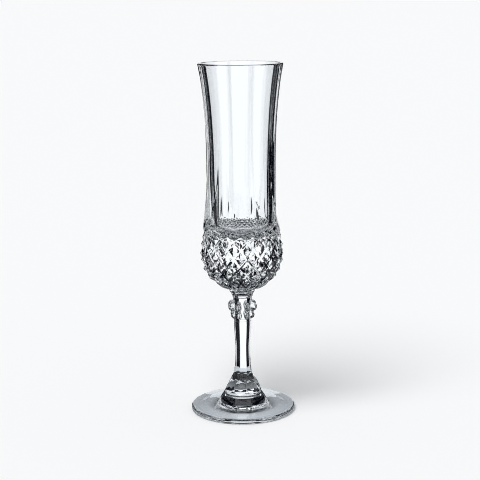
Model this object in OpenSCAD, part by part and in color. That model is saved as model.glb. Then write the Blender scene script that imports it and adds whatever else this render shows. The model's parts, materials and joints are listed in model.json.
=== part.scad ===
// Champagne flute in clear glass. A moulded bowl with flat cut panels and a band of raised
// diamonds stands on a collar, a beaded knop, an eight-sided shaft and a round foot.
// The pieces are gathers of glass that are fused face to face, so nothing moves.
// Z points up along the axis, and the origin is the middle of the foot's underside.

/* [Foot] */
// Diameter of the foot
foot_d = 60; // [54:1:68]
// Thickness of the foot at its rim
foot_rim_t = 2.9; // [2.4:0.1:3.6]
// Height of the foot's top face where it meets the boss
foot_crown_h = 5.4; // [4.6:0.1:6]
// Diameter of the boss where it meets the foot
boss_low_d = 28.4; // [26:0.2:32]
// Diameter of the boss at its top
boss_top_d = 22; // [21.6:0.1:24]
// Height of the boss's top above the table
boss_h = 10.3; // [9.5:0.1:11.5]
// Depth of the hollow under the foot
kick_h = 2; // [1:0.1:2.6]

/* [Stem] */
// Number of flat faces on the shaft and the knop
stem_sides = 8; // [6:1:10]
// Turn of the stem's flat faces away from the front, in degrees
stem_turn = 3.5; // [0:0.5:10]
// Distance across two opposite faces of the shaft at its thinnest
shaft_flats = 8.9; // [8.4:0.1:10]
// Height of the shaft's top above the table
shaft_top_h = 53; // [52:0.5:55]
// Number of thumbprints around the shaft's spread base
thumbs = 8; // [6:1:8]
// Depth of each thumbprint
thumb_depth = 0.9; // [0.5:0.1:1.2]
// Turn of the thumbprints away from the faces of the shaft, in degrees
thumb_turn = -13; // [-20:1:20]

/* [Knop] */
// Diameter over the upper row of beads
upper_bead_d = 17.6; // [16:0.2:19]
// Diameter over the lower row of beads
lower_bead_d = 14.6; // [13:0.2:16]
// Half the height of a bead of the upper row
upper_bead_r = 2.9; // [2.6:0.1:3.1]
// Half the height of a bead of the lower row
lower_bead_r = 2.4; // [2.2:0.1:2.6]
// Half the width of a bead of the upper row
bead_half_w = 1.5; // [1.2:0.1:1.7]
// Height of the knop's top above the table
knop_top_h = 67; // [66.5:0.5:68.5]

/* [Collar] */
// Diameter of the collar at its waist
collar_waist_d = 11.4; // [10.8:0.2:12.4]
// Diameter of the collar where it meets the bowl
collar_top_d = 14.8; // [14:0.2:16]
// Height of the collar's top above the table
collar_top_h = 71.4; // [71:0.1:72]

/* [Bowl] */
// Height of the rim above the table
rim_h = 200; // [194:1:210]
// Outside diameter of the rim
rim_d = 48.2; // [47:0.2:51]
// Outside diameter of the bowl's waist
waist_d = 39.4; // [38:0.2:41]
// Outside diameter of the bowl's bulge
bulge_d = 47.8; // [46:0.2:50]
// Wall thickness from the waist up to the rim
wall = 2.4; // [1.8:0.1:2.8]
// Inside diameter of the bowl beside the bulge
bulge_bore_d = 33.4; // [31:0.2:34.4]
// Height of the lowest point inside the bowl
cavity_low_h = 102; // [98:0.5:104]

/* [Bowl pattern] */
// Number of flat panels around the bowl, with two diamonds for each
panels = 9; // [8:1:10]
// Height of one half diamond
diamond_half_h = 4.7; // [4.5:0.1:4.9]
// Depth of the grooves between the diamonds
groove_depth = 2; // [0.8:0.1:2.2]
// Turn of one panel's middle from the front towards the right, in degrees
panel_turn = 7.4; // [0:0.1:20]

/* [Hidden] */
$fn = 96;

// The front of the flute faces along -Y.
front = -90;
// A flat face leaves a narrow round land beside each corner of the stem.
land = 1.015;
// A cutter's reach beyond the surface that it cuts.
over = 3;
// The rim and the foot's edge are fire-polished to this radius.
rim_round = wall * 0.45;
foot_round = foot_rim_t * 0.4;

// Heights at which the bowl's shape turns.
bulge_h = collar_top_h + 21.8;
waist_h = bulge_h + 56;
flare = rim_h - waist_h;

// Rows of the diamond band, counted in half diamonds from the bulge.
low_row = -4;
high_row = 3;
lattice_top_h = bulge_h + high_row * diamond_half_h;

// Outside radius of the bowl over the tips of the diamonds, as [height, radius].
waist_r = waist_d / 2;
bulge_r = bulge_d / 2;
rim_r = rim_d / 2;
bowl_keys = [
    [collar_top_h, collar_top_d / 2],
    [collar_top_h + 2.8, 13.6],
    [collar_top_h + 6.2, 17.9],
    [collar_top_h + 10.2, 21.1],
    [collar_top_h + 15.6, bulge_r - 0.8],
    [bulge_h, bulge_r],
    [bulge_h + 6.5, bulge_r - 0.9],
    [bulge_h + 13, bulge_r - 1.8],
    [bulge_h + 19, waist_r + 1.7],
    [bulge_h + 25, waist_r + 1.05],
    [bulge_h + 32, waist_r + 0.4],
    [bulge_h + 41, waist_r + 0.05],
    [waist_h, waist_r],
    [waist_h + flare * 0.3, waist_r + 0.35],
    [waist_h + flare * 0.55, waist_r + 1.25],
    [waist_h + flare * 0.82, waist_r + 2.8],
    [waist_h + flare * 0.95, rim_r - 0.45],
    [rim_h, rim_r]
];

// Distance of the flat panels from the axis, as [height, distance]. The panels are cut deep
// just above the bulge, and above the waist they only graze the round wall.
graze = 0.14;
panel_low_h = bulge_h + 4;
panel_keys = [
    [panel_low_h, bulge_r + 0.7],
    [bulge_h + 10, bulge_r - 1.3],
    [bulge_h + 14.4, waist_r + 1.8],
    [bulge_h + 19, waist_r + 0.65],
    [bulge_h + 23, waist_r + 0.1],
    [bulge_h + 32, waist_r - 0.1],
    [bulge_h + 41, waist_r - graze],
    [waist_h, waist_r - graze],
    [waist_h + flare * 0.3, waist_r + 0.35 - graze],
    [waist_h + flare * 0.55, waist_r + 1.25 - graze],
    [waist_h + flare * 0.82, waist_r + 2.8 - graze],
    [waist_h + flare * 0.95, rim_r - 0.45 - graze],
    [rim_h + over, rim_r + 0.5]
];

// Radius of the space inside the bowl, above its round bottom, as [height, radius].
bore_r = bulge_bore_d / 2;
cavity_round_top_h = cavity_low_h + 9;
cavity_keys = [
    [cavity_round_top_h, bore_r],
    [bulge_h + 26, bore_r + 0.2],
    [bulge_h + 36, bore_r + 0.2],
    [waist_h, waist_r - wall - 0.2],
    [waist_h + flare * 0.3, waist_r + 0.35 - wall],
    [waist_h + flare * 0.55, waist_r + 1.25 - wall],
    [waist_h + flare * 0.82, waist_r + 2.8 - wall],
    [rim_h, rim_r - wall]
];

// Radius over the corners of the shaft, as [height, radius].
shaft_r = shaft_flats / 2 / cos(180 / stem_sides);
shaft_keys = [
    [boss_h, boss_top_d / 2 - 0.4],
    [boss_h + 1.2, boss_top_d / 2 - 0.5],
    [boss_h + 3.6, boss_top_d / 2 - 1.3],
    [boss_h + 6.6, boss_top_d / 2 - 2.8],
    [boss_h + 9.6, shaft_r + 1.9],
    [boss_h + 12.6, shaft_r + 0.7],
    [boss_h + 16, shaft_r + 0.3],
    [boss_h + 27, shaft_r],
    [shaft_top_h - 8, shaft_r + 0.2],
    [shaft_top_h - 2, shaft_r + 0.55],
    [shaft_top_h, shaft_r + 0.5]
];
// Above this height the shaft has flat faces; below it the faces run out into a round spread.
flats_low_h = boss_h + 6;

// Index of the stretch of keys that holds height z.
function stretch_of(keys, z, i = 0) =
    (i < len(keys) - 2 && z > keys[i + 1][0]) ? stretch_of(keys, z, i + 1) : i;

// Slope of the curve at key i.
function slope_at(keys, i) =
    let (lo = max(i - 1, 0), hi = min(i + 1, len(keys) - 1))
    (keys[hi][1] - keys[lo][1]) / (keys[hi][0] - keys[lo][0]);

// Value at height z on a smooth curve through the keys.
function smooth_at(keys, z) =
    let (
        i = stretch_of(keys, z),
        h = keys[i + 1][0] - keys[i][0],
        t = min(max((z - keys[i][0]) / h, 0), 1),
        start = keys[i][1],
        end = keys[i + 1][1]
    )
    start * (1 + 2 * t) * pow(1 - t, 2) + end * t * t * (3 - 2 * t)
    + h * slope_at(keys, i) * t * pow(1 - t, 2) - h * slope_at(keys, i + 1) * t * t * (1 - t);

// Points [radius, height] along a smooth curve, from height low to height high.
function smooth_line(keys, low, high, steps) =
    [for (i = [0:steps]) let (z = low + (high - low) * i / steps) [smooth_at(keys, z), z]];

// Flat cuts around a piece. Each cutter's inner face follows the points [distance, height].
module flat_cuts(count, turn, line, reach, width) {
    low = line[0][1];
    high = line[len(line) - 1][1];
    for (k = [0:count - 1])
        rotate([0, 0, front + turn + k * 360 / count])
            rotate([90, 0, 0])
                linear_extrude(height = width, center = true)
                    polygon(concat(line, [[reach, high], [reach, low]]));
}

module foot() {
    foot_r = foot_d / 2;
    boss_low_r = boss_low_d / 2;
    boss_top_r = boss_top_d / 2;
    kick_r = foot_r - 4.5;
    kick_steps = 8;
    crown = foot_crown_h - foot_rim_t;
    edge_r = foot_r - foot_round;
    underside = [for (i = [0:kick_steps])
        let (t = i / kick_steps)
        [kick_r * t, kick_h * (1 - t * t)]];
    edge = [for (a = [-90:30:90])
        let (middle_h = a < 0 ? foot_round : foot_rim_t - foot_round)
        [edge_r + foot_round * cos(a), middle_h + foot_round * sin(a)]];
    top = [
        [foot_r * 0.72, foot_rim_t + crown * 0.35],
        [boss_low_r + 1.2, foot_crown_h - 0.35],
        [boss_low_r, foot_crown_h],
        [boss_top_r + 0.15, boss_h - 0.3],
        [boss_top_r - 0.2, boss_h],
        [0, boss_h]
    ];
    color("lightcyan") rotate_extrude() polygon(concat(underside, edge, top));
}

// Each thumbprint is a shallow hollow, cut by a ball beside the shaft's spread base.
module thumbprints() {
    ball_r = 9;
    lean = 35;
    print_h = boss_h + 3.4;
    print_r = smooth_at(shaft_keys, print_h) - thumb_depth;
    for (k = [0:thumbs - 1])
        rotate([0, 0, front + stem_turn + thumb_turn + k * 360 / thumbs])
            translate([print_r + ball_r * cos(lean), 0, print_h + ball_r * sin(lean)])
                sphere(r = ball_r);
}

// The flat faces end below in a spread, where each cut leans away from the axis.
module stem_shaft() {
    steps = 30;
    cut_lean = 0.16;
    lean_top_h = boss_h + 13;
    body = smooth_line(shaft_keys, boss_h, shaft_top_h, 40);
    flat = [for (p = smooth_line(shaft_keys, flats_low_h, shaft_top_h, steps))
        [p[0] * cos(180 / stem_sides) * land + max(0, lean_top_h - p[1]) * cut_lean, p[1]]];
    cut = concat(flat, [[flat[steps][0], shaft_top_h + over]]);
    color("aliceblue")
        difference() {
            rotate_extrude() polygon(concat([[0, boss_h]], body, [[0, shaft_top_h]]));
            flat_cuts(stem_sides, stem_turn, cut, boss_top_d, boss_top_d);
            thumbprints();
        }
}

// A ring of beads, one on each corner of the knop. Each is a lens on edge, which two large
// balls share, with its tip at radius tip_r.
module bead_row(lens_r, half_w, tip_r, h) {
    ball_r = (lens_r * lens_r + half_w * half_w) / (2 * half_w);
    for (k = [0:stem_sides - 1])
        rotate([0, 0, front + stem_turn + (k + 0.5) * 360 / stem_sides])
            translate([tip_r - lens_r, 0, h])
                intersection() {
                    translate([0, ball_r - half_w, 0]) sphere(r = ball_r);
                    translate([0, half_w - ball_r, 0]) sphere(r = ball_r);
                }
}

module stem_knop() {
    low_corner_r = shaft_r + 0.48;
    high_corner_r = collar_waist_d / 2 + 0.4;
    color("azure")
        union() {
            rotate([0, 0, front + stem_turn + 180 / stem_sides])
                translate([0, 0, shaft_top_h])
                    cylinder(
                        h = knop_top_h - shaft_top_h,
                        r1 = low_corner_r,
                        r2 = high_corner_r,
                        $fn = stem_sides
                    );
            bead_row(upper_bead_r, bead_half_w, upper_bead_d / 2, shaft_top_h + 8.6);
            bead_row(lower_bead_r, bead_half_w - 0.2, lower_bead_d / 2, shaft_top_h + 3.6);
        }
}

module neck_collar() {
    neck_r = collar_waist_d / 2;
    h = collar_top_h - knop_top_h;
    top_r = collar_top_d / 2;
    line = [
        [neck_r - 0.2, knop_top_h],
        [neck_r, knop_top_h + h * 0.12],
        [neck_r, knop_top_h + h * 0.3],
        [neck_r + 0.2, knop_top_h + h * 0.55],
        [neck_r + 0.7, knop_top_h + h * 0.78],
        [top_r - 0.35, knop_top_h + h * 0.94],
        [top_r, collar_top_h]
    ];
    color("lightblue") rotate_extrude() polygon(concat([[0, knop_top_h]], line, [[0, collar_top_h]]));
}

// The diamonds: each cell of the lattice is a low pyramid between two crossing grooves.
// Grooves cross at every second corner, and a pyramid's tip is at each corner between.
module diamond_body() {
    around = panels * 4;
    rows = high_row - low_row + 1;
    function corner(j, k) =
        let (
            z = bulge_h + k * diamond_half_h,
            crossing = k < high_row && (j + k + around) % 2 == 0,
            r = smooth_at(bowl_keys, z) - (crossing ? groove_depth : 0),
            a = front + panel_turn + j * 360 / around
        )
        [r * cos(a), r * sin(a), z];
    foot_ring = [for (j = [0:around - 1])
        let (a = front + panel_turn + j * 360 / around)
        [bowl_keys[0][1] * cos(a), bowl_keys[0][1] * sin(a), collar_top_h]];
    points = concat(foot_ring, [for (k = [low_row:high_row]) for (j = [0:around - 1]) corner(j, k)]);
    // The diagonal of each cell runs along a groove, from crossing to crossing.
    cells = [for (k = [0:rows - 1]) for (j = [0:around - 1])
        let (
            a = k * around + j,
            b = k * around + (j + 1) % around,
            c = a + around,
            d = b + around,
            along = (j + k + low_row - 1 + around) % 2 == 0
        )
        each (along ? [[a, c, d], [a, d, b]] : [[a, c, b], [b, c, d]])];
    low_cap = [[for (j = [0:around - 1]) j]];
    high_cap = [[for (j = [around - 1:-1:0]) rows * around + j]];
    polyhedron(points, concat(cells, low_cap, high_cap), convexity = 4);
}

module bowl_outside() {
    overlap = 0.8;
    low = lattice_top_h - overlap;
    side = smooth_line(bowl_keys, low, rim_h - rim_round, 32);
    lip = [for (a = [30:30:90])
        [rim_r - rim_round + rim_round * cos(a), rim_h - rim_round + rim_round * sin(a)]];
    diamond_body();
    rotate_extrude() polygon(concat([[0, low]], side, lip, [[0, rim_h]]));
}

module cavity() {
    bottom = [for (a = [0:9:81])
        [bore_r * sin(a), cavity_round_top_h - (cavity_round_top_h - cavity_low_h) * cos(a)]];
    side = smooth_line(cavity_keys, cavity_round_top_h, rim_h - rim_round, 32);
    lip = [for (a = [30:30:90])
        [rim_r - wall + rim_round * (1 - cos(a)), rim_h - rim_round + rim_round * sin(a)]];
    mouth = [[rim_r - wall + rim_round, rim_h + over], [0, rim_h + over]];
    rotate_extrude() polygon(concat(bottom, side, lip, mouth));
}

module bowl() {
    panel_line = smooth_line(panel_keys, panel_low_h, rim_h + over, 44);
    color("ghostwhite")
        difference() {
            bowl_outside();
            flat_cuts(panels, panel_turn, panel_line, rim_d, rim_d);
            cavity();
        }
}

foot();
stem_shaft();
stem_knop();
neck_collar();
bowl();
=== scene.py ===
"""A champagne flute in clear glass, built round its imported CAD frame.

Lengths are in metres. MM turns millimetres into metres, so that the sizes below read as on a drawing.
Angles round the axis are in degrees from the front (-Y) towards the right (+X).
"""

import json
import math

import bpy
from mathutils import Matrix, Vector

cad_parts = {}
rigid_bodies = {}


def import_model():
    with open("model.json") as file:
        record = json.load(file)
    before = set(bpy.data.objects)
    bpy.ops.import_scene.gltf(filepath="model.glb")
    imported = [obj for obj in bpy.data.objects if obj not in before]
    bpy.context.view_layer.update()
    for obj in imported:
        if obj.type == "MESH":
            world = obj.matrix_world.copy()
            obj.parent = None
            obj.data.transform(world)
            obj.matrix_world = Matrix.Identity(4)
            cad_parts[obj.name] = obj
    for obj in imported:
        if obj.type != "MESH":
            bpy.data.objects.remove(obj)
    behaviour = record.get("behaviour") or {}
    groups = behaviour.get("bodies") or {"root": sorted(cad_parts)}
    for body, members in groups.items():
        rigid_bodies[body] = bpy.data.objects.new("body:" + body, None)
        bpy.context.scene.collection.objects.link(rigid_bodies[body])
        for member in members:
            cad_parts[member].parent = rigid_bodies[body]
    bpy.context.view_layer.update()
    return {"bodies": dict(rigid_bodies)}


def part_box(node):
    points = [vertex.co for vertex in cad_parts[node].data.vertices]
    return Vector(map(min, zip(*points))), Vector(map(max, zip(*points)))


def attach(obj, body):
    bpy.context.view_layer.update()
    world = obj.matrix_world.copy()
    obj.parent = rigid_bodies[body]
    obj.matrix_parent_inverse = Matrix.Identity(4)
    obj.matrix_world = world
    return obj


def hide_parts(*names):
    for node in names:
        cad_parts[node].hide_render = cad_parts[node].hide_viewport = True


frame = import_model()

MM = 0.001
BODY = list(frame["bodies"])[0]

# ---------------------------------------------------------------- sizes from the frame

BOWL_LOW, BOWL_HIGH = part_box("bowl")
COLLAR_LOW, COLLAR_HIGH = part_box("neck_collar")
KNOP_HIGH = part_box("stem_knop")[1]
SHAFT_LOW, SHAFT_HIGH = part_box("stem_shaft")
FOOT_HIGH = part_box("foot")[1]

RIM_H = BOWL_HIGH[2]
NECK_H = BOWL_LOW[2]
KNOP_H = KNOP_HIGH[2]
SHAFT_H = SHAFT_HIGH[2]
BOSS_H = SHAFT_LOW[2]
FOOT_R = FOOT_HIGH[0]

# ---------------------------------------------------------------- sizes of the glass

COLUMNS = 360                  # points round every ring
CRISP = 11                     # edges that turn by more degrees than this stay crisp
WELD_STEP = 0.05 * MM          # from a fused face to the first full ring of the knop or shaft

# Bowl
PANELS = 9
PANEL_TURN = 7.4
PANEL_BLEND = 0.08 * MM        # where a panel meets the round wall
WALL = 2.4 * MM
BULGE_H = NECK_H + 21.8 * MM
WAIST_H = BULGE_H + 56 * MM
FLARE = RIM_H - WAIST_H
RIM_R = 24.1 * MM
BULGE_R = 23.9 * MM
WAIST_R = 19.7 * MM
BORE_R = 16.7 * MM
CAVITY_LOW_H = NECK_H + 30.6 * MM
CAVITY_ROUND_H = 9 * MM
RIM_ROUND = 0.3 * WALL
LIP_STEP = 15                  # degrees from ring to ring round the rim
LEVEL_FROM, LEVEL_TO = 60, 120   # degrees over which the rim's level middle is crossed
GRAZE = 0.14 * MM              # depth of the panels above the waist
NECK_WELD_R = 8.1 * MM
NECK_SHARES = (0.04, 0.2, 0.4, 0.6, 0.8)   # rings between the neck (0) and the diamonds (1)
WALL_RINGS = 70                # on the outside above the diamonds, and again on the inside
BOTTOM_RINGS = 24              # on the cavity's round bottom

# Diamonds
FINE = 10                      # rows and columns in each half diamond
LOW_ROW, HIGH_ROW = -4, 5      # ends of the band, in half diamonds above the bulge
DIAMOND_HALF_H = 4.7 * MM
GROOVE = 2.0 * MM
GROOVE_FLOOR = 0.34 * MM       # how far a groove's sharp bottom is filled
GROOVE_BLEND = 0.1 * MM
FADE_LOW_H = BULGE_H + 10 * MM   # the grooves fade out between these two heights
FADE_HIGH_H = BULGE_H + 15 * MM
CROWN_H = BULGE_H + LOW_ROW * DIAMOND_HALF_H

# Stem
SIDES = 8
STEM_TURN = 3.5
CORNER_BLEND = 0.25 * MM       # the rounding along the corners between two faces
SHAFT_R = 4.82 * MM
FACES_LOW_H = BOSS_H + 4 * MM    # the shaft turns from round to faceted between these heights
FACES_HIGH_H = BOSS_H + 13 * MM
KNOP_LOW_R = SHAFT_R + 0.4 * MM
KNOP_GAIN = 0.75 * MM          # what the knop's corners gain in radius from bottom to top
KNOP_WELD_R = 5.45 * MM
SHAFT_WELD_R = 4.6075 * MM
BASE_WELD_R = 10.5 * MM
COLLAR_RINGS = 30
KNOP_RINGS = 140
SHAFT_RINGS = 200

# Each row of beads: half its height, half its width, the radius of its tips and its height.
KNOP_BEADS = [
    (2.85 * MM, 1.45 * MM, 8.75 * MM, SHAFT_H + 8.6 * MM),
    (2.35 * MM, 1.25 * MM, 7.25 * MM, SHAFT_H + 3.6 * MM),
]
BEAD_BLEND = 0.3 * MM          # where a bead meets the knop

# Thumbprints
THUMBS = 8
THUMB_TURN = -9.5
THUMB_DEPTH = 0.5 * MM
THUMB_H = BOSS_H + 4.6 * MM
THUMB_HALF_H = 4.4 * MM
THUMB_RIB = 1.05               # over 1 leaves a rib between two prints
THUMB_FLOOR = 1.3              # over 1 gives a print a level floor
THUMB_EDGE = 0.8               # under 1 gives it a firm edge

# Foot
FOOT_RIM_T = 2.9 * MM
FOOT_EDGE_R = 0.4 * FOOT_RIM_T
CROWN_T = 5.4 * MM             # height of the top face where the boss begins
KICK_R = FOOT_R - 4.5 * MM     # the hollow under the foot
KICK_H = 2.0 * MM
BOSS_LOW_R = 14.2 * MM
BOSS_TOP_R = 11.1 * MM
KICK_RINGS = 24
SLOPE_RINGS = 8                # on each straight stretch of the foot's top
EDGE_STEP = 10                 # degrees from ring to ring round the foot's edge

# Outside radius of the bowl over the tips of the diamonds, as (height, radius).
BOWL_KEYS = [
    (NECK_H, NECK_WELD_R),
    (NECK_H + 2.8 * MM, 13.6 * MM),
    (NECK_H + 6.2 * MM, 17.9 * MM),
    (NECK_H + 10.2 * MM, 21.1 * MM),
    (NECK_H + 15.6 * MM, BULGE_R - 0.8 * MM),
    (BULGE_H, BULGE_R),
    (BULGE_H + 6.5 * MM, BULGE_R - 0.9 * MM),
    (BULGE_H + 13 * MM, BULGE_R - 1.8 * MM),
    (BULGE_H + 19 * MM, WAIST_R + 1.7 * MM),
    (BULGE_H + 25 * MM, WAIST_R + 1.05 * MM),
    (BULGE_H + 32 * MM, WAIST_R + 0.4 * MM),
    (BULGE_H + 41 * MM, WAIST_R + 0.05 * MM),
    (WAIST_H, WAIST_R),
    (WAIST_H + 0.3 * FLARE, WAIST_R + 0.35 * MM),
    (WAIST_H + 0.55 * FLARE, WAIST_R + 1.25 * MM),
    (WAIST_H + 0.82 * FLARE, WAIST_R + 2.8 * MM),
    (WAIST_H + 0.95 * FLARE, RIM_R - 0.45 * MM),
    (RIM_H, RIM_R),
]

# Distance of the flat panels from the axis, as (height, distance).
PANEL_KEYS = [
    (BULGE_H + 4 * MM, BULGE_R + 0.7 * MM),
    (BULGE_H + 10 * MM, BULGE_R - 1.3 * MM),
    (BULGE_H + 14.4 * MM, WAIST_R + 1.8 * MM),
    (BULGE_H + 19 * MM, WAIST_R + 0.65 * MM),
    (BULGE_H + 23 * MM, WAIST_R),
    (BULGE_H + 32 * MM, WAIST_R - 0.25 * MM),
    (BULGE_H + 41 * MM, WAIST_R - 0.3 * MM),
    (WAIST_H, WAIST_R - 0.22 * MM),
    (WAIST_H + 0.3 * FLARE, WAIST_R + 0.35 * MM - GRAZE),
    (WAIST_H + 0.55 * FLARE, WAIST_R + 1.25 * MM - GRAZE),
    (WAIST_H + 0.82 * FLARE, WAIST_R + 2.8 * MM - GRAZE),
    (WAIST_H + 0.95 * FLARE, RIM_R - 0.45 * MM - GRAZE),
    (RIM_H, RIM_R - GRAZE),
]

# Radius of the space inside the bowl above its round bottom, as (height, radius).
CAVITY_KEYS = [
    (CAVITY_LOW_H + CAVITY_ROUND_H, BORE_R),
    (BULGE_H + 26 * MM, BORE_R + 0.2 * MM),
    (BULGE_H + 36 * MM, BORE_R + 0.2 * MM),
    (WAIST_H, WAIST_R - WALL - 0.2 * MM),
    (WAIST_H + 0.3 * FLARE, WAIST_R + 0.35 * MM - WALL),
    (WAIST_H + 0.55 * FLARE, WAIST_R + 1.25 * MM - WALL),
    (WAIST_H + 0.82 * FLARE, WAIST_R + 2.8 * MM - WALL),
    (RIM_H, RIM_R - WALL),
]

# Radius over the corners of the shaft, as (height, radius).
SHAFT_KEYS = [
    (BOSS_H + 0.3 * MM, 10.6 * MM),
    (BOSS_H + 1.2 * MM, 10.5 * MM),
    (BOSS_H + 3.6 * MM, 9.7 * MM),
    (BOSS_H + 6.6 * MM, 8.2 * MM),
    (BOSS_H + 9.6 * MM, SHAFT_R + 1.5 * MM),
    (BOSS_H + 12.6 * MM, SHAFT_R + 0.7 * MM),
    (BOSS_H + 16 * MM, SHAFT_R + 0.1 * MM),
    (BOSS_H + 27 * MM, SHAFT_R - 0.3 * MM),
    (SHAFT_H - 8 * MM, SHAFT_R + 0.2 * MM),
    (SHAFT_H - 2 * MM, SHAFT_R + 0.55 * MM),
    (SHAFT_H, SHAFT_R + 0.5 * MM),
]


# ---------------------------------------------------------------- curves and blends


def curve(keys, z):
    """The value at height z on a smooth curve through (height, value) keys."""
    i = 0
    while i < len(keys) - 2 and z > keys[i + 1][0]:
        i += 1
    (z0, v0), (z1, v1) = keys[i], keys[i + 1]
    h = z1 - z0
    t = min(max((z - z0) / h, 0.0), 1.0)

    def slope(k):
        lo, hi = max(k - 1, 0), min(k + 1, len(keys) - 1)
        return (keys[hi][1] - keys[lo][1]) / (keys[hi][0] - keys[lo][0])

    return (
        v0 * (1 + 2 * t) * (1 - t) ** 2
        + v1 * t * t * (3 - 2 * t)
        + h * slope(i) * t * (1 - t) ** 2
        - h * slope(i + 1) * t * t * (1 - t)
    )


def soft_min(a, b, blend):
    """The smaller of a and b, rounded off where they are within blend of each other."""
    h = max(blend - abs(a - b), 0.0) / blend
    return min(a, b) - h * h * blend / 4


def soft_max(a, b, blend):
    """The larger of a and b, rounded off in the same way."""
    return -soft_min(-a, -b, blend)


def ramp(low, high, x):
    """0 at low, 1 at high, smooth between."""
    t = min(max((x - low) / (high - low), 0.0), 1.0)
    return t * t * (3 - 2 * t)


def off_face(angle, count, turn):
    """Degrees from angle to the middle of the nearest of count faces."""
    pitch = 360 / count
    return (angle - turn + pitch / 2) % pitch - pitch / 2


def spread(low, high, count):
    """count + 1 even values from low to high, with both ends."""
    return [low + (high - low) * i / count for i in range(count + 1)]


# ---------------------------------------------------------------- building glass pieces


def ring(radius, z, turn=0.0):
    """One closed ring. radius is a number or a function of the angle in degrees."""
    points = []
    for i in range(COLUMNS):
        angle = turn + 360 * i / COLUMNS
        r = radius(angle) if callable(radius) else radius
        a = math.radians(angle - 90)
        points.append((r * math.cos(a), r * math.sin(a), z))
    return points


def glass_piece(name, rings, tips, welds, node, diagonal=None):
    """A closed glass piece from rings in order along its skin.

    tips are the middle points that close the first and the last ring. welds says which of
    those two caps is fused to the next piece, where the glass runs on without a surface.
    diagonal says, for ring k and column i, which way the patch above it is split.
    """
    points = [p for r in rings for p in r]
    faces, weld_faces = [], set()
    for k in range(len(rings) - 1):
        for i in range(COLUMNS):
            j = (i + 1) % COLUMNS
            a, b = k * COLUMNS + i, k * COLUMNS + j
            c, d = a + COLUMNS, b + COLUMNS
            if diagonal and diagonal(k, i):
                faces += [(a, b, c), (b, d, c)]
            else:
                faces += [(a, b, d), (a, d, c)]
    for end, tip in enumerate(tips):
        centre = len(points)
        points.append(tip)
        base = 0 if end == 0 else (len(rings) - 1) * COLUMNS
        for i in range(COLUMNS):
            j = (i + 1) % COLUMNS
            if welds[end]:
                weld_faces.add(len(faces))
            faces.append((centre, base + j, base + i) if end == 0 else (centre, base + i, base + j))
    mesh = bpy.data.meshes.new(name)
    mesh.from_pydata(points, [], faces)
    mesh.materials.append(GLASS)
    mesh.materials.append(WELD)
    for face in mesh.polygons:
        face.use_smooth = True
        face.material_index = 1 if face.index in weld_faces else 0
    mesh.validate()
    mesh.set_sharp_from_angle(angle=math.radians(CRISP))
    piece = bpy.data.objects.new(name, mesh)
    bpy.context.scene.collection.objects.link(piece)
    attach(piece, BODY)
    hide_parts(node)


# ---------------------------------------------------------------- materials

GLASS_TINT = (0.985, 0.992, 0.996)
GLASS_IOR = 1.52
RIPPLE_SCALE = 40              # noise cells to the metre, before detail
RIPPLE_DETAIL = 1.5
RIPPLE_STRENGTH = 0.06
RIPPLE_DEPTH = 0.05 * MM
POLISH_SCALE = 300
ROUGHEST = 0.02
LAMP_PASS = (0.66, 0.67, 0.68)   # share of lamp light that goes through one surface


def emission(name, colour, strength):
    """A plain glowing material."""
    mat = bpy.data.materials.new(name)
    mat.use_nodes = True
    nodes = mat.node_tree.nodes
    nodes.clear()
    out = nodes.new("ShaderNodeOutputMaterial")
    shine = nodes.new("ShaderNodeEmission")
    shine.inputs["Color"].default_value = (*colour, 1)
    shine.inputs["Strength"].default_value = strength
    mat.node_tree.links.new(shine.outputs[0], out.inputs["Surface"])
    return mat


def glass_material():
    """Pressed and fire-polished clear glass: slow ripples and a faint change of polish."""
    mat = bpy.data.materials.new("clear_glass")
    mat.use_nodes = True
    tree = mat.node_tree
    nodes, links = tree.nodes, tree.links
    nodes.clear()
    out = nodes.new("ShaderNodeOutputMaterial")
    glass = nodes.new("ShaderNodeBsdfPrincipled")
    glass.inputs["Base Color"].default_value = (*GLASS_TINT, 1)
    glass.inputs["IOR"].default_value = GLASS_IOR
    glass.inputs["Transmission Weight"].default_value = 1.0
    place = nodes.new("ShaderNodeTexCoord")
    ripple = nodes.new("ShaderNodeTexNoise")
    ripple.inputs["Scale"].default_value = RIPPLE_SCALE
    ripple.inputs["Detail"].default_value = RIPPLE_DETAIL
    links.new(place.outputs["Object"], ripple.inputs["Vector"])
    bump = nodes.new("ShaderNodeBump")
    bump.inputs["Strength"].default_value = RIPPLE_STRENGTH
    bump.inputs["Distance"].default_value = RIPPLE_DEPTH
    links.new(ripple.outputs["Fac"], bump.inputs["Height"])
    links.new(bump.outputs["Normal"], glass.inputs["Normal"])
    polish = nodes.new("ShaderNodeTexNoise")
    polish.inputs["Scale"].default_value = POLISH_SCALE
    links.new(place.outputs["Object"], polish.inputs["Vector"])
    rough = nodes.new("ShaderNodeMapRange")
    rough.inputs["To Min"].default_value = 0.0
    rough.inputs["To Max"].default_value = ROUGHEST
    links.new(polish.outputs["Fac"], rough.inputs["Value"])
    links.new(rough.outputs["Result"], glass.inputs["Roughness"])
    # Rays from lamps pass with a loss, so that the flute's shadow is pale, as glass casts it.
    lamp_path = nodes.new("ShaderNodeLightPath")
    through = nodes.new("ShaderNodeBsdfTransparent")
    through.inputs["Color"].default_value = (*LAMP_PASS, 1)
    mix = nodes.new("ShaderNodeMixShader")
    links.new(lamp_path.outputs["Is Shadow Ray"], mix.inputs["Fac"])
    links.new(glass.outputs[0], mix.inputs[1])
    links.new(through.outputs[0], mix.inputs[2])
    links.new(mix.outputs[0], out.inputs["Surface"])
    return mat


def weld_material():
    """A fused seam has no surface, so light runs straight on."""
    mat = bpy.data.materials.new("fused_seam")
    mat.use_nodes = True
    nodes = mat.node_tree.nodes
    nodes.clear()
    out = nodes.new("ShaderNodeOutputMaterial")
    clear = nodes.new("ShaderNodeBsdfTransparent")
    mat.node_tree.links.new(clear.outputs[0], out.inputs["Surface"])
    return mat


GLASS = glass_material()
WELD = weld_material()

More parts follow.
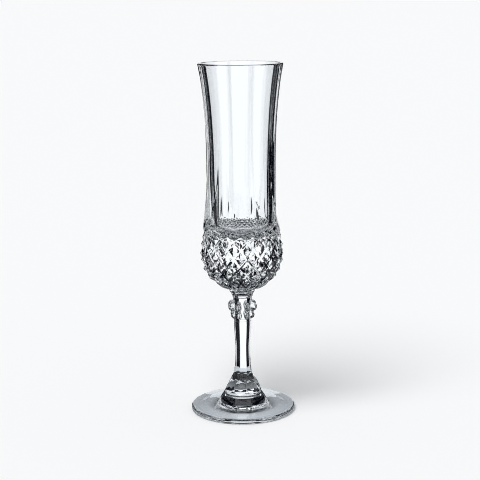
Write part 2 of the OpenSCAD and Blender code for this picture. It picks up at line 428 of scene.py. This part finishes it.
# ---------------------------------------------------------------- bowl


def lattice_corner(j, k):
    """Corner j round, k up: two grooves cross at every second one, with a tip between."""
    z = BULGE_H + k * DIAMOND_HALF_H
    r = curve(BOWL_KEYS, z) - (GROOVE if (j + k) % 2 == 0 else 0)
    a = math.radians(PANEL_TURN + j * 90 / PANELS - 90)
    return Vector((r * math.cos(a), r * math.sin(a), z))


def lattice_point(i, k):
    """Point i round and k up on the flat faces of the diamonds."""
    j, row = i // FINE, k // FINE
    s, t = i / FINE - j, k / FINE - row
    a, b = lattice_corner(j, row), lattice_corner(j + 1, row)
    c, d = lattice_corner(j, row + 1), lattice_corner(j + 1, row + 1)
    if (j + row) % 2:
        return a + (b - a) * s + (c - a) * t if s + t < 1 else d + (c - d) * (1 - s) + (b - d) * (1 - t)
    return a + (b - a) * s + (d - b) * t if s > t else a + (c - a) * t + (d - c) * s


def panel_cut(r, angle, z):
    """Radius r at this angle and height after the flat panels are cut in."""
    if z <= PANEL_KEYS[0][0]:
        return r
    off = math.radians(off_face(angle, PANELS, PANEL_TURN))
    return soft_min(r, curve(PANEL_KEYS, z) / math.cos(off), PANEL_BLEND)


def bowl_point(i, k):
    """Point i, k of the diamond band, with the grooves' bottoms filled and the panels cut in."""
    point = lattice_point(i, k)
    z = point.z
    a = math.atan2(point.y, point.x)
    whole = curve(BOWL_KEYS, z)
    r = soft_max(math.hypot(point.x, point.y), whole - GROOVE + GROOVE_FLOOR, GROOVE_BLEND)
    r = min(r, whole)
    r += (whole - r) * ramp(FADE_LOW_H, FADE_HIGH_H, z)
    r = panel_cut(r, math.degrees(a) + 90, z)
    return (r * math.cos(a), r * math.sin(a), z)


def bowl_radius(angle, z):
    """Outside radius of the bowl above the diamonds: round, with the flat panels cut in."""
    return panel_cut(curve(BOWL_KEYS, z), angle, z)


def neck_ring(share):
    """A ring that turns from round at the neck (0) into the lowest diamonds' outline (1)."""
    z = NECK_H + (CROWN_H - NECK_H) * share
    cut = share ** 2
    as_cut = curve(BOWL_KEYS, z) / curve(BOWL_KEYS, CROWN_H)
    points = []
    for i in range(COLUMNS):
        x, y, _ = bowl_point(i, LOW_ROW * FINE)
        as_round = curve(BOWL_KEYS, z) / math.hypot(x, y)
        scale = as_round * (1 - cut) + as_cut * cut
        points.append((x * scale, y * scale, z))
    return points


def lip_ring(bend):
    """A ring of the rim's edge, from outside (0 degrees) over the top to inside (180)."""
    z = RIM_H - RIM_ROUND + RIM_ROUND * math.sin(math.radians(bend))
    side = (1 - math.cos(math.radians(bend))) / 2
    inside = RIM_R - WALL
    level = 1 - 2 * RIM_ROUND / WALL
    crossed = 1 if bend > 90 else ramp(LEVEL_FROM, LEVEL_TO, bend)
    reach = side * (1 - level) + level * crossed

    def radius(angle):
        outside = bowl_radius(angle, RIM_H - RIM_ROUND)
        return outside + (inside - outside) * reach

    return ring(radius, z, PANEL_TURN)


def build_bowl():
    rings = [ring(NECK_WELD_R, NECK_H, PANEL_TURN)]
    rings += [neck_ring(share) for share in NECK_SHARES]
    first_row = len(rings)
    for k in range(LOW_ROW * FINE, HIGH_ROW * FINE + 1):
        rings.append([bowl_point(i, k) for i in range(COLUMNS)])
    for z in spread(BULGE_H + HIGH_ROW * DIAMOND_HALF_H, RIM_H - RIM_ROUND, WALL_RINGS)[1:]:
        rings.append(ring(lambda angle, z=z: bowl_radius(angle, z), z, PANEL_TURN))
    rings += [lip_ring(bend) for bend in range(LIP_STEP, 181, LIP_STEP)]
    for z in spread(RIM_H - RIM_ROUND, CAVITY_LOW_H + CAVITY_ROUND_H, WALL_RINGS)[1:]:
        rings.append(ring(curve(CAVITY_KEYS, z), z, PANEL_TURN))
    for degrees in spread(0, 90, BOTTOM_RINGS)[1:-1]:
        bend = math.radians(degrees)
        z = CAVITY_LOW_H + CAVITY_ROUND_H * (1 - math.sin(bend))
        rings.append(ring(BORE_R * math.cos(bend), z, PANEL_TURN))

    def diagonal(k, i):
        """Patches in the diamond band are split along the grooves, so that each is crisp."""
        row = (k - first_row) // FINE + LOW_ROW
        return (i // FINE + row) % 2 == 1

    tips = [(0, 0, NECK_H), (0, 0, CAVITY_LOW_H)]
    glass_piece("bowl_glass", rings, tips, (True, False), "bowl", diagonal)


# ---------------------------------------------------------------- neck collar


def build_collar():
    low, high = COLLAR_LOW[2], COLLAR_HIGH[2]
    tall = high - low
    keys = [
        (low, KNOP_WELD_R),
        (low + 0.12 * tall, 5.95 * MM),
        (low + 0.35 * tall, 6.15 * MM),
        (low + 0.7 * tall, 7.1 * MM),
        (high, NECK_WELD_R),
    ]
    rings = []
    for z in spread(low, high, COLLAR_RINGS):
        turn = STEM_TURN + (PANEL_TURN - STEM_TURN) * (z - low) / tall
        rings.append(ring(curve(keys, z), z, turn))
    tips = [(0, 0, low), (0, 0, high)]
    glass_piece("collar_glass", rings, tips, (True, True), "neck_collar")


# ---------------------------------------------------------------- knop and shaft


def faceted(angle, corner_r):
    """Radius of a section with flat faces and slightly rounded corners."""
    half = math.radians(180 / SIDES)
    off = math.radians(off_face(angle, SIDES, STEM_TURN))
    return soft_min(corner_r * math.cos(half) / math.cos(off), corner_r, CORNER_BLEND)


def knop_radius(angle, z):
    """Flat faces run right up the knop, and two rows of beads stand on its corners."""
    share = (z - SHAFT_H) / (KNOP_H - SHAFT_H)
    r = faceted(angle, KNOP_LOW_R + share * KNOP_GAIN)
    off = math.radians(180 / SIDES - abs(off_face(angle, SIDES, STEM_TURN)))
    for tall, wide, tip_r, mid in KNOP_BEADS:
        out = tip_r - tall
        inside = 1 - (out * math.sin(off) / wide) ** 2 - ((z - mid) / tall) ** 2
        if inside > 0:
            r = soft_max(r, out * math.cos(off) + tall * math.sqrt(inside), BEAD_BLEND)
    return r


def build_knop():
    rings = [ring(SHAFT_WELD_R, SHAFT_H, STEM_TURN)]
    for z in spread(SHAFT_H + WELD_STEP, KNOP_H - WELD_STEP, KNOP_RINGS):
        rings.append(ring(lambda angle, z=z: knop_radius(angle, z), z, STEM_TURN))
    rings.append(ring(KNOP_WELD_R, KNOP_H, STEM_TURN))
    tips = [(0, 0, SHAFT_H), (0, 0, KNOP_H)]
    glass_piece("knop_glass", rings, tips, (True, True), "stem_knop")


def shaft_radius(angle, z):
    """Round and thumbprinted at the foot, with flat faces above."""
    r = curve(SHAFT_KEYS, z)
    flat = faceted(angle, r)
    r = flat + (r - flat) * (1 - ramp(FACES_LOW_H, FACES_HIGH_H, z))
    off = off_face(angle, THUMBS, THUMB_TURN) / (180 / THUMBS)
    up = (z - THUMB_H) / THUMB_HALF_H
    dip = max(1 - off * off * THUMB_RIB - up * up, 0)
    return r - THUMB_DEPTH * min(dip * THUMB_FLOOR, 1) ** THUMB_EDGE


def build_shaft():
    rings = [ring(BASE_WELD_R, BOSS_H, STEM_TURN)]
    for z in spread(BOSS_H + 3 * WELD_STEP, SHAFT_H - WELD_STEP, SHAFT_RINGS):
        rings.append(ring(lambda angle, z=z: shaft_radius(angle, z), z, STEM_TURN))
    rings.append(ring(SHAFT_WELD_R, SHAFT_H, STEM_TURN))
    tips = [(0, 0, BOSS_H), (0, 0, SHAFT_H)]
    glass_piece("shaft_glass", rings, tips, (True, True), "stem_shaft")


# ---------------------------------------------------------------- foot


def foot_outline():
    """(radius, height) points from the hollow under the foot, round its edge, to the boss's top."""
    outline = [(KICK_R * t, KICK_H * (1 - t * t)) for t in spread(0, 1, KICK_RINGS)[1:]]
    for bend in range(-90, 91, EDGE_STEP):
        middle_h = FOOT_EDGE_R if bend < 0 else FOOT_RIM_T - FOOT_EDGE_R
        r = FOOT_R - FOOT_EDGE_R + FOOT_EDGE_R * math.cos(math.radians(bend))
        outline.append((r, middle_h + FOOT_EDGE_R * math.sin(math.radians(bend))))
    top = [
        (FOOT_R * 0.72, FOOT_RIM_T + 0.35 * (CROWN_T - FOOT_RIM_T)),
        (BOSS_LOW_R + 1.2 * MM, CROWN_T - 0.37 * MM),
        (BOSS_LOW_R, CROWN_T - 0.02 * MM),
        (BOSS_TOP_R, BOSS_H - 0.32 * MM),
        (BASE_WELD_R + 0.25 * MM, BOSS_H - 0.02 * MM),
        (BASE_WELD_R, BOSS_H),
    ]
    for end_r, end_h in top:
        start_r, start_h = outline[-1]
        radii = spread(start_r, end_r, SLOPE_RINGS)
        heights = spread(start_h, end_h, SLOPE_RINGS)
        outline += list(zip(radii, heights))[1:]
    return outline


def build_foot():
    rings = [ring(r, z, STEM_TURN) for r, z in foot_outline()]
    glass_piece("foot_glass", rings, [(0, 0, KICK_H), (0, 0, BOSS_H)], (False, True), "foot")


build_bowl()
build_collar()
build_knop()
build_shaft()
build_foot()

# ---------------------------------------------------------------- camera

CAMERA_PLACE = (-0.00103, -0.6873, 0.2367)
CAMERA_PITCH = 11.255          # degrees below level
CAMERA_ROLL = -0.5
CAMERA_SENSOR = 36             # in millimetres, as is the lens
CAMERA_LENS = 92.28


def place_camera():
    data = bpy.data.cameras.new("camera")
    data.sensor_width = CAMERA_SENSOR
    data.lens = CAMERA_LENS
    obj = bpy.data.objects.new("camera", data)
    obj.matrix_world = (
        Matrix.Translation(CAMERA_PLACE)
        @ Matrix.Rotation(math.radians(90 - CAMERA_PITCH), 4, "X")
        @ Matrix.Rotation(math.radians(CAMERA_ROLL), 4, "Z")
    )
    bpy.context.scene.collection.objects.link(obj)
    bpy.context.scene.camera = obj
    bpy.context.view_layer.update()
    return obj


camera = place_camera()

# ---------------------------------------------------------------- studio

PALE = (0.956, 0.965, 0.973)   # the backdrop
WHITE = (1.01, 1.03, 1.05)     # a lit card
TABLE = (0.8, 0.82, 0.85)      # the card that stands for the table
DIM = (0.35, 0.39, 0.44)       # a dim card
DARK = (0.004, 0.006, 0.012)   # the studio between the cards
TENT_R = 8.0
TENT_MIDDLE = 0.1              # height of the tent's middle
CARD_LOW = -38                 # lower edge of every upright card, in degrees above level
BACK_TOP = 9                   # upper edge of the cards behind the flute
FRONT_TOP = 30                 # upper edge of the cards beside it and in front of it


def stage_mesh(name, points, faces, material):
    mesh = bpy.data.meshes.new(name)
    mesh.from_pydata(points, [], faces)
    mesh.materials.append(material)
    obj = bpy.data.objects.new(name, mesh)
    bpy.context.scene.collection.objects.link(obj)
    return obj


def only_in_glass(obj):
    """Hides a stage piece from the camera, from matt surfaces and from lamps."""
    obj.visible_camera = False
    obj.visible_diffuse = False
    obj.visible_shadow = False


def tent_card(name, turn, rise, colour, strength=1.0, steps=10):
    """A card of the light tent: a piece of a far sphere that shows only in the glass.

    turn is its two ends in degrees round the flute from straight behind it, to the right.
    rise is its lower and upper edge in degrees above level.
    """
    points, faces = [], []
    for turn_by in spread(*turn, steps):
        for rise_by in spread(*rise, steps):
            round_by, up = math.radians(turn_by), math.radians(rise_by)
            flat, z = TENT_R * math.cos(up), TENT_MIDDLE + TENT_R * math.sin(up)
            points.append((flat * math.sin(round_by), flat * math.cos(round_by), z))
    row = steps + 1
    for i in range(steps):
        for j in range(steps):
            k = i * row + j
            faces.append((k, k + row, k + row + 1, k + 1))
    card = stage_mesh(name, points, faces, emission(name, colour, strength))
    only_in_glass(card)
    card.parent = camera
    card.matrix_parent_inverse = camera.matrix_world.inverted()


tent_card("tent_back", (-15.5, 15.5), (CARD_LOW, BACK_TOP), WHITE)
tent_card("tent_table", (-180, 180), (-90, -57), TABLE, steps=40)
tent_card("tent_above", (-17, 17), (34, 60), DIM)
tent_card("tent_top_front", (130, 230), (34, 62), WHITE, 1.6, steps=30)
for side, tag in ((-1, "left"), (1, "right")):
    tent_card("tent_strip_" + tag, (side * 31, side * 36), (CARD_LOW, BACK_TOP), WHITE)
    tent_card("tent_side_" + tag, (side * 100, side * 139), (CARD_LOW, FRONT_TOP), WHITE)
    tent_card("tent_front_" + tag, (side * 151, side * 180), (CARD_LOW, FRONT_TOP), WHITE)

FLOOR_HALF = 40.0
FLOOR_COLOUR = (0.9, 0.905, 0.91)


def floor_material():
    mat = bpy.data.materials.new("floor")
    mat.use_nodes = True
    bsdf = mat.node_tree.nodes["Principled BSDF"]
    bsdf.inputs["Base Color"].default_value = (*FLOOR_COLOUR, 1)
    bsdf.inputs["Roughness"].default_value = 1.0
    bsdf.inputs["Specular IOR Level"].default_value = 0.0
    return mat


def build_floor():
    signs = ((-1, -1), (1, -1), (1, 1), (-1, 1))
    corners = [(x * FLOOR_HALF, y * FLOOR_HALF, 0) for x, y in signs]
    floor = stage_mesh("floor", corners, [(0, 1, 2, 3)], floor_material())
    floor.visible_transmission = False
    floor.visible_glossy = False


build_floor()

# A glowing disc under the foot, seen only in the glass, stands in for the lit table, with a painted
# shadow under the stem.
UNDERFOOT_R = 45 * MM
UNDERFOOT_H = -0.2 * MM
UNDERFOOT_STEP = 5             # degrees from point to point round its edge
UNDERFOOT_GLOW = (0.9, 0.95, 1.0)
SHADE_IN_R, SHADE_OUT_R = 10 * MM, 20 * MM
SHADE_IN, SHADE_OUT = 0.06, 0.78   # brightness of the painted shadow inside the first radius, and of the disc beyond the second


def underfoot_shadow_material():
    """What the glass shows of the table, as a glowing disc: a painted shadow, dark under the stem, and
    pale further out.
    """
    mat = emission("underfoot", UNDERFOOT_GLOW, 1.0)
    nodes, links = mat.node_tree.nodes, mat.node_tree.links
    place = nodes.new("ShaderNodeTexCoord")
    length = nodes.new("ShaderNodeVectorMath")
    length.operation = "LENGTH"
    links.new(place.outputs["Object"], length.inputs[0])
    shade = nodes.new("ShaderNodeMapRange")
    shade.interpolation_type = "SMOOTHSTEP"
    shade.inputs["From Min"].default_value = SHADE_IN_R
    shade.inputs["From Max"].default_value = SHADE_OUT_R
    shade.inputs["To Min"].default_value = SHADE_IN
    shade.inputs["To Max"].default_value = SHADE_OUT
    links.new(length.outputs["Value"], shade.inputs["Value"])
    links.new(shade.outputs["Result"], nodes["Emission"].inputs["Strength"])
    return mat


def build_underfoot():
    points = []
    for degrees in range(0, 360, UNDERFOOT_STEP):
        angle = math.radians(degrees)
        points.append((math.cos(angle) * UNDERFOOT_R, math.sin(angle) * UNDERFOOT_R, UNDERFOOT_H))
    disc = stage_mesh("underfoot", points, [tuple(range(len(points)))], underfoot_shadow_material())
    only_in_glass(disc)


build_underfoot()

SUN_SHARE = 0.78               # the key lamp's share of the light on the floor
SUN_UP = math.radians(60)
SUN_TURN = math.radians(-36)   # round from the front, so the lamp stands in front on the left
SUN_SPREAD = math.radians(40)  # a wide lamp, for a soft shadow


def build_sun():
    data = bpy.data.lights.new("key", "SUN")
    data.energy = SUN_SHARE * PALE[0] * math.pi / FLOOR_COLOUR[0] / math.sin(SUN_UP)
    data.angle = SUN_SPREAD
    sun = bpy.data.objects.new("key", data)
    towards = Vector((
        math.sin(SUN_TURN) * math.cos(SUN_UP),
        -math.cos(SUN_TURN) * math.cos(SUN_UP),
        math.sin(SUN_UP),
    ))
    sun.rotation_euler = towards.to_track_quat("Z", "Y").to_euler()
    sun.visible_glossy = False
    sun.visible_transmission = False
    bpy.context.scene.collection.objects.link(sun)


build_sun()


def build_world():
    """Pale to the camera, a soft fill on the floor, and dark to the glass between the cards."""
    world = bpy.data.worlds.new("studio")
    world.use_nodes = True
    nodes, links = world.node_tree.nodes, world.node_tree.links
    nodes.clear()
    out = nodes.new("ShaderNodeOutputWorld")
    path = nodes.new("ShaderNodeLightPath")

    def background(colour):
        shader = nodes.new("ShaderNodeBackground")
        shader.inputs["Color"].default_value = (*colour, 1)
        return shader.outputs[0]

    def choose(ray, others, chosen):
        """chosen for rays of this kind, and others for the rest."""
        mix = nodes.new("ShaderNodeMixShader")
        links.new(path.outputs[ray], mix.inputs["Fac"])
        links.new(others, mix.inputs[1])
        links.new(chosen, mix.inputs[2])
        return mix.outputs[0]

    fill = [c * (1 - SUN_SHARE) / FLOOR_COLOUR[0] for c in PALE]
    unseen = choose("Is Diffuse Ray", background(DARK), background(fill))
    seen = choose("Is Camera Ray", unseen, background(PALE))
    links.new(seen, out.inputs["Surface"])
    bpy.context.scene.world = world


build_world()

scene = bpy.context.scene
scene.view_settings.view_transform = "Standard"
scene.view_settings.gamma = 0.75
scene.cycles.filter_width = 1.0
scene.cycles.max_bounces = 40
scene.cycles.transmission_bounces = 32
scene.cycles.glossy_bounces = 16
scene.cycles.transparent_max_bounces = 48
scene.cycles.caustics_reflective = False
scene.cycles.caustics_refractive = False
